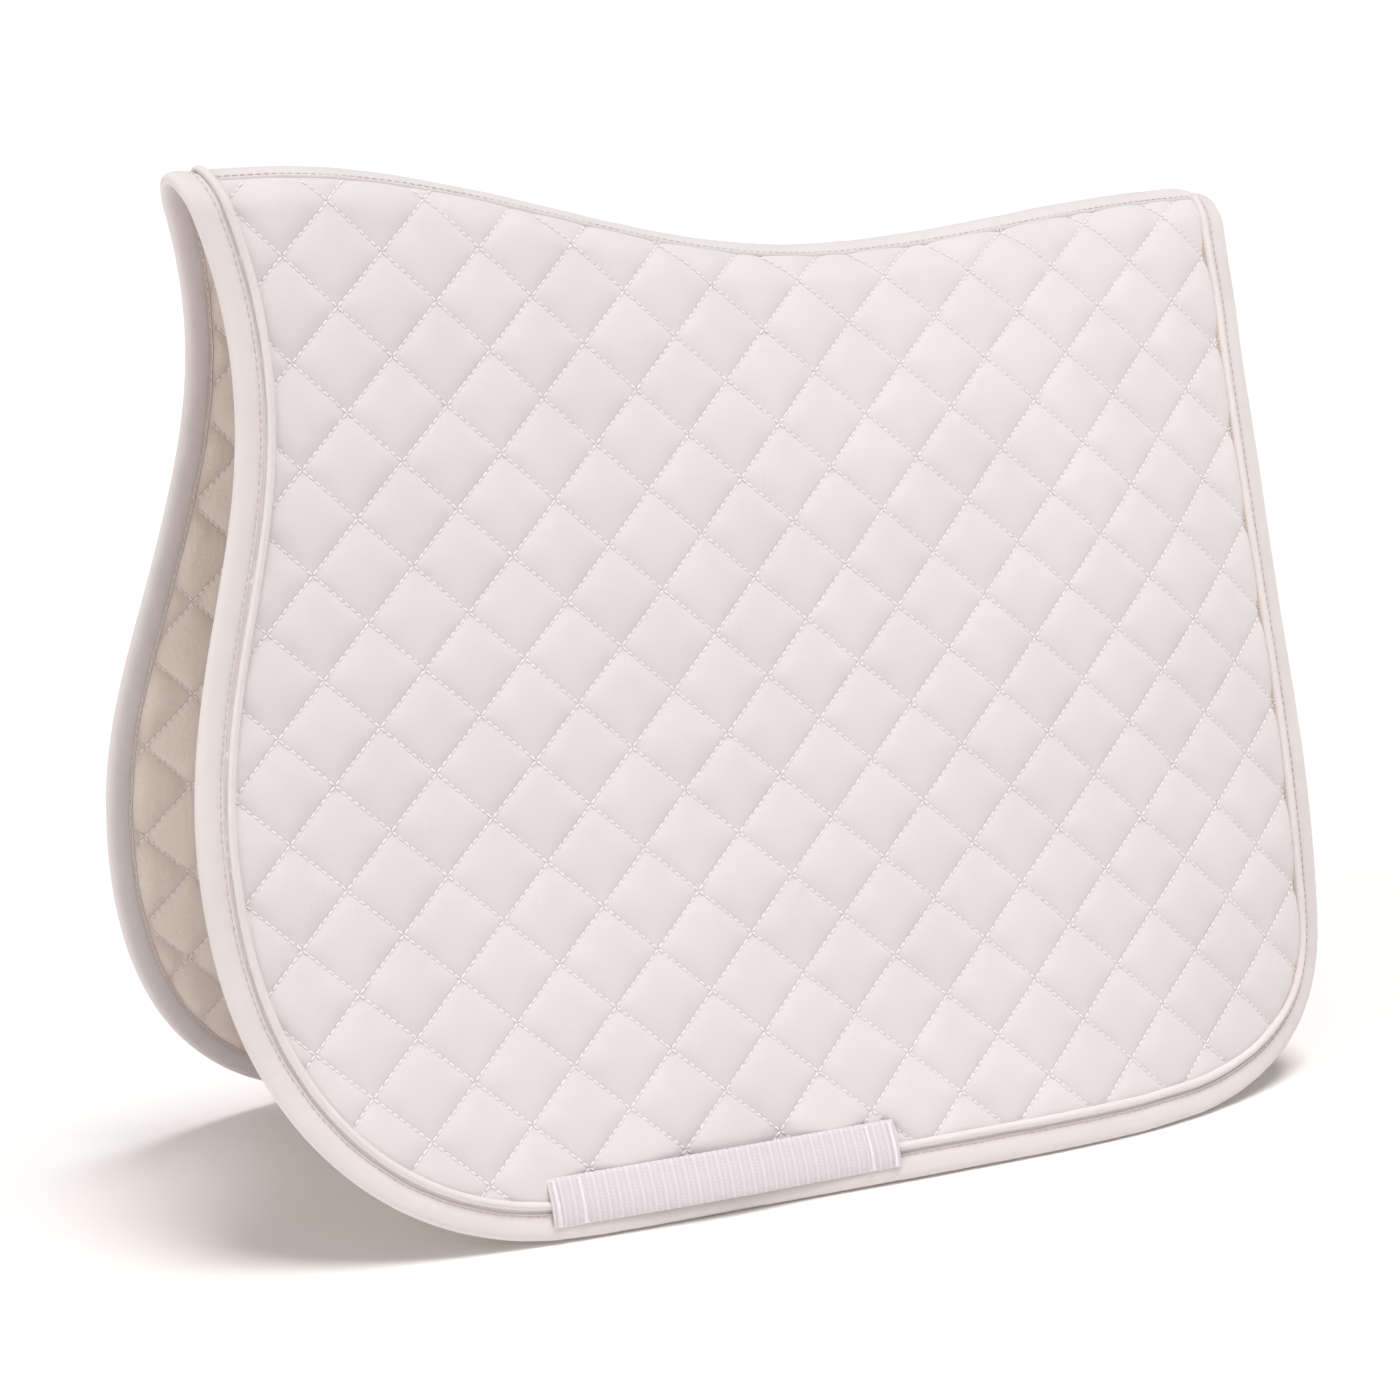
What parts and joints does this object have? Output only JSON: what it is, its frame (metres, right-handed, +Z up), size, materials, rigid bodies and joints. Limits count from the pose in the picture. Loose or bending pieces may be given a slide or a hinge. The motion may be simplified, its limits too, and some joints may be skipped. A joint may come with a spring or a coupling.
{
  "type": "saddle pad",
  "caption": "quilted saddle pad with two shaped flaps folding outward from a shaped ridge, bound and piped edges, and a girth keeper on each flap",
  "frame": {"origin": "centre of the footprint, on the plane that the two bottom edges stand on", "axes": "+X from the withers to the rear, +Y to the horse's right (off side), +Z up through the ridge"},
  "size_m": [0.6608, 0.36, 0.5301],
  "materials": {
    "cotton_cloth": "plain-woven white cotton, quilted in diamonds",
    "wadding": "soft polyester fibre",
    "binding_tape": "smooth white bias-cut cotton tape",
    "piping_cover": "white cotton over a round cord",
    "keeper_webbing": "ribbed white webbing",
    "thread": "white sewing thread"
  },
  "bodies": {
    "crown": {"outer_cloth_crown_near": "cotton_cloth", "outer_cloth_crown_off": "cotton_cloth", "wadding_crown_near": "wadding", "wadding_crown_off": "wadding", "lining_crown_near": "cotton_cloth", "lining_crown_off": "cotton_cloth", "ridge_tape_outer": "binding_tape", "ridge_tape_inner": "binding_tape", "binding_crown_front": "binding_tape", "binding_crown_rear": "binding_tape", "piping_crown_front": "piping_cover", "piping_crown_rear": "piping_cover", "ridge_stitching": "thread"},
    "near_flap": {"outer_cloth_near": "cotton_cloth", "wadding_near": "wadding", "lining_near": "cotton_cloth", "binding_near": "binding_tape", "piping_near": "piping_cover", "girth_keeper_near": "keeper_webbing", "keeper_bartacks_near": "thread"},
    "off_flap": {"outer_cloth_off": "cotton_cloth", "wadding_off": "wadding", "lining_off": "cotton_cloth", "binding_off": "binding_tape", "piping_off": "piping_cover", "girth_keeper_off": "keeper_webbing", "keeper_bartacks_off": "thread"}
  },
  "joints": [
    {"name": "near_fold", "type": "hinge", "parent": "crown", "child": "near_flap", "pos_m": [0, -0.031, 0.44294], "axis": [-1, 0, 0], "range_deg": [-14, 70]},
    {"name": "off_fold", "type": "hinge", "parent": "crown", "child": "off_flap", "pos_m": [0, 0.031, 0.44294], "axis": [1, 0, 0], "range_deg": [-14, 70]}
  ]
}
